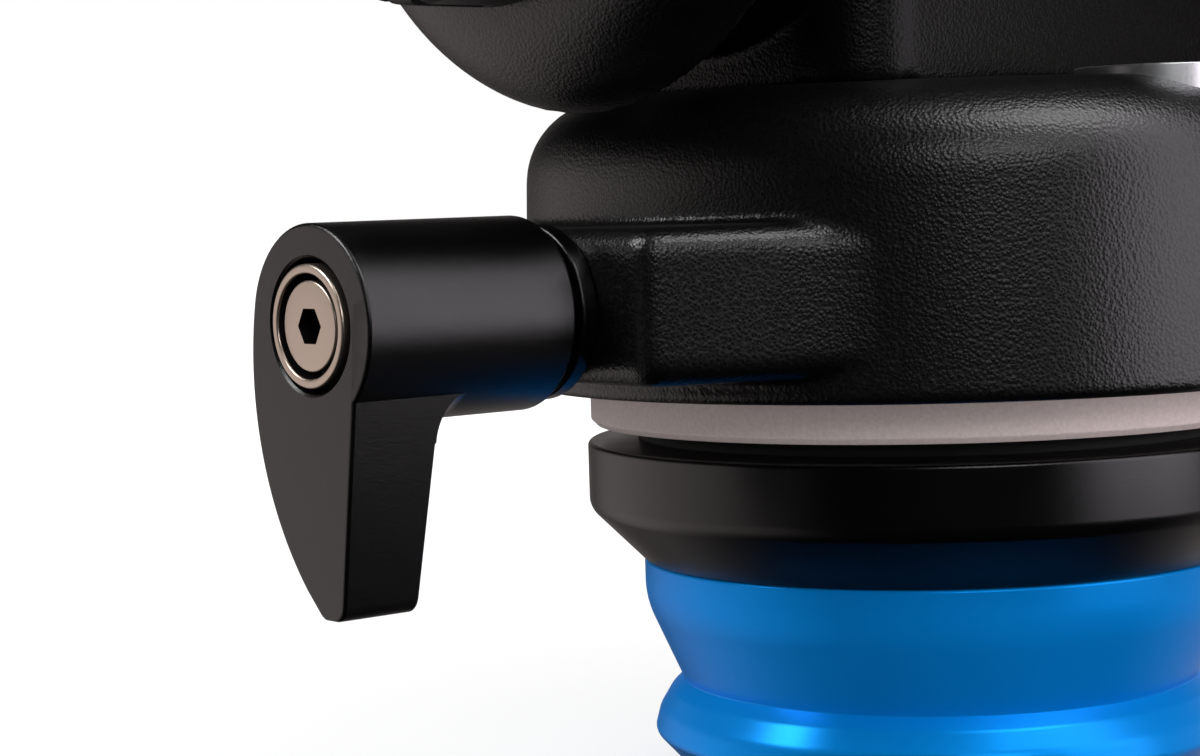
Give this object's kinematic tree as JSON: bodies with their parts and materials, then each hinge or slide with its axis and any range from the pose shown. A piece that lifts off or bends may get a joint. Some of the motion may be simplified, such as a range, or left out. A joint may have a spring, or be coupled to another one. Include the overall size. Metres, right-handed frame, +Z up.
{
  "type": "fluid video head",
  "caption": "Fluid video head: a waisted flat base, a pan housing with a lock lever, and a tilting cradle with a sliding camera plate, dials and a pan bar.",
  "frame": {"origin": "centre of the base foot's underside, on the mouth of its tripod thread", "axes": "+Z up along the pan axis, X along the tilt axis with the pan lock lever at -X, and -Y towards the operator"},
  "size_m": [0.1704, 0.3018, 0.1614],
  "materials": {
    "black_casting": "fine sand-textured black paint",
    "black_anodised": "bead-blasted satin black anodised",
    "blue_anodised": "glossy azure anodised, turned",
    "warm_steel": "bead-blasted stainless steel",
    "bright_steel": "machined steel",
    "drag_aluminium": "machined aluminium",
    "bronze": "plain bearing bronze",
    "black_rubber": "moulded rubber",
    "black_plastic": "moulded black plastic",
    "black_steel": "blackened steel, the knob in one piece with its stud",
    "red_plastic": "moulded red plastic",
    "vial": "clear acrylic over yellow-green liquid"
  },
  "bodies": {
    "base": {"base_foot": "blue_anodised", "thread_insert": "bright_steel", "base_plate": "black_anodised", "base_screws": "bright_steel", "pan_spindle": "bright_steel", "bearing_inner": "bright_steel", "pan_seal": "black_rubber", "drag_cup": "drag_aluminium", "preload_washer": "bright_steel", "spindle_nut": "bright_steel"},
    "pan": {"bearing_ring": "warm_steel", "ring_screws": "bright_steel", "bearing_outer": "bright_steel", "bearing_balls": "bright_steel", "bearing_circlip": "bright_steel", "pan_housing": "black_casting", "drag_rotor": "drag_aluminium", "spindle_bush": "bronze", "level_cup": "drag_aluminium", "level_vial": "vial", "pedestal": "black_casting", "pedestal_screws": "bright_steel", "pan_thrust_washer": "black_plastic", "tilt_bushes": "bronze", "tilt_drag_stator": "drag_aluminium", "brake_disc": "bright_steel", "balance_spring": "bright_steel"},
    "pan_lock": {"pan_lock_screw": "bright_steel", "pan_lever_cup": "warm_steel", "pan_lever_screw": "warm_steel", "pan_lever_spring": "bright_steel"},
    "pan_lever": {"pan_lock_lever": "black_anodised"},
    "pan_shoe": {"pan_brake_shoe": "bronze"},
    "tilt": {"left_cheek": "black_casting", "right_cheek": "black_casting", "platform": "black_casting", "cheek_screws": "bright_steel", "tilt_shaft": "bright_steel", "tilt_drag_rotor": "drag_aluminium", "rosettes": "bright_steel", "tilt_thrust_washer": "black_plastic"},
    "tilt_lock": {"tilt_lock_screw": "bright_steel", "tilt_lever_cup": "warm_steel", "tilt_lever_screw": "warm_steel", "tilt_lever_spring": "bright_steel"},
    "tilt_lever": {"tilt_lock_lever": "black_anodised"},
    "tilt_shoe": {"tilt_brake_shoe": "bronze"},
    "drag_dial": {"tilt_drag_dial": "black_plastic"},
    "counterbalance_dial": {"balance_dial": "black_plastic"},
    "plate": {"camera_plate": "black_anodised", "plate_pads": "black_rubber"},
    "plate_screw": {"camera_screw": "bright_steel"},
    "plate_knob": {"clamp_knob": "black_steel"},
    "plate_jaw": {"clamp_jaw": "drag_aluminium"},
    "safety_catch": {"safety_button": "red_plastic"},
    "pan_bar": {"bar_clamp": "black_casting", "bar_tube": "black_anodised", "bar_grip": "black_rubber"},
    "pan_bar_knob": {"bar_knob": "black_plastic"}
  },
  "joints": [
    {"name": "pan_turn", "type": "hinge", "parent": "base", "child": "pan", "pos_m": [0, 0, 0.037], "axis": [0, 0, 1], "continuous": true},
    {"name": "tilt_turn", "type": "hinge", "parent": "pan", "child": "tilt", "pos_m": [0, 0, 0.1015], "axis": [1, 0, 0], "range_deg": [-75, 90], "deforming": ["balance_spring"]},
    {"name": "pan_lock_turn", "type": "hinge", "parent": "pan", "child": "pan_lock", "pos_m": [-0.051, 0, 0.0501], "axis": [1, 0, 0], "range_deg": [-20, 70]},
    {"name": "pan_lever_lift", "type": "slide", "parent": "pan_lock", "child": "pan_lever", "axis": [-1, 0, 0], "range_m": [0, 0.003], "stiffness_N_per_m": 900, "deforming": ["pan_lever_spring"]},
    {"name": "pan_shoe_press", "type": "slide", "parent": "pan", "child": "pan_shoe", "axis": [1, 0, 0], "range_m": [-0.0002, 0.0003]},
    {"name": "tilt_lock_turn", "type": "hinge", "parent": "tilt", "child": "tilt_lock", "pos_m": [0.056, 0, 0.076], "axis": [-1, 0, 0], "range_deg": [-20, 70]},
    {"name": "tilt_lever_lift", "type": "slide", "parent": "tilt_lock", "child": "tilt_lever", "axis": [1, 0, 0], "range_m": [0, 0.003], "stiffness_N_per_m": 900, "deforming": ["tilt_lever_spring"]},
    {"name": "tilt_shoe_press", "type": "slide", "parent": "tilt", "child": "tilt_shoe", "axis": [-1, 0, 0], "range_m": [-0.0002, 0.0003]},
    {"name": "drag_dial_turn", "type": "hinge", "parent": "tilt", "child": "drag_dial", "pos_m": [-0.054, 0, 0.1015], "axis": [-1, 0, 0], "range_deg": [-135, 135]},
    {"name": "counterbalance_dial_turn", "type": "hinge", "parent": "tilt", "child": "counterbalance_dial", "pos_m": [0.054, 0, 0.1015], "axis": [1, 0, 0], "range_deg": [-135, 135]},
    {"name": "plate_slide", "type": "slide", "parent": "tilt", "child": "plate", "axis": [0, 1, 0], "range_m": [-0.025, 0.025]},
    {"name": "camera_screw_turn", "type": "hinge", "parent": "plate", "child": "plate_screw", "pos_m": [0, 0, 0.15], "axis": [0, 0, 1], "continuous": true},
    {"name": "clamp_knob_turn", "type": "hinge", "parent": "tilt", "child": "plate_knob", "pos_m": [-0.0524, 0.006, 0.1453], "axis": [1, 0, 0], "range_deg": [-90, 60]},
    {"name": "clamp_jaw_press", "type": "slide", "parent": "tilt", "child": "plate_jaw", "axis": [1, 0, 0], "range_m": [-0.0003, 0.0002]},
    {"name": "safety_press", "type": "slide", "parent": "tilt", "child": "safety_catch", "axis": [-1, 0, 0], "range_m": [0, 0.003], "stiffness_N_per_m": 600},
    {"name": "bar_angle", "type": "hinge", "parent": "tilt", "child": "pan_bar", "pos_m": [0.0689, -0.03, 0.1235], "axis": [1, 0, 0], "range_deg": [-40, 35]},
    {"name": "bar_knob_turn", "type": "hinge", "parent": "pan_bar", "child": "pan_bar_knob", "pos_m": [0.0798, -0.03, 0.1235], "axis": [1, 0, 0], "range_deg": [-180, 180]}
  ],
  "couplings": [
    {"joint": "pan_shoe_press", "follows": "pan_lock_turn", "m_per_rad": 0.0001989},
    {"joint": "tilt_shoe_press", "follows": "tilt_lock_turn", "m_per_rad": 0.0001989},
    {"joint": "clamp_jaw_press", "follows": "clamp_knob_turn", "m_per_rad": 0.0001592}
  ]
}
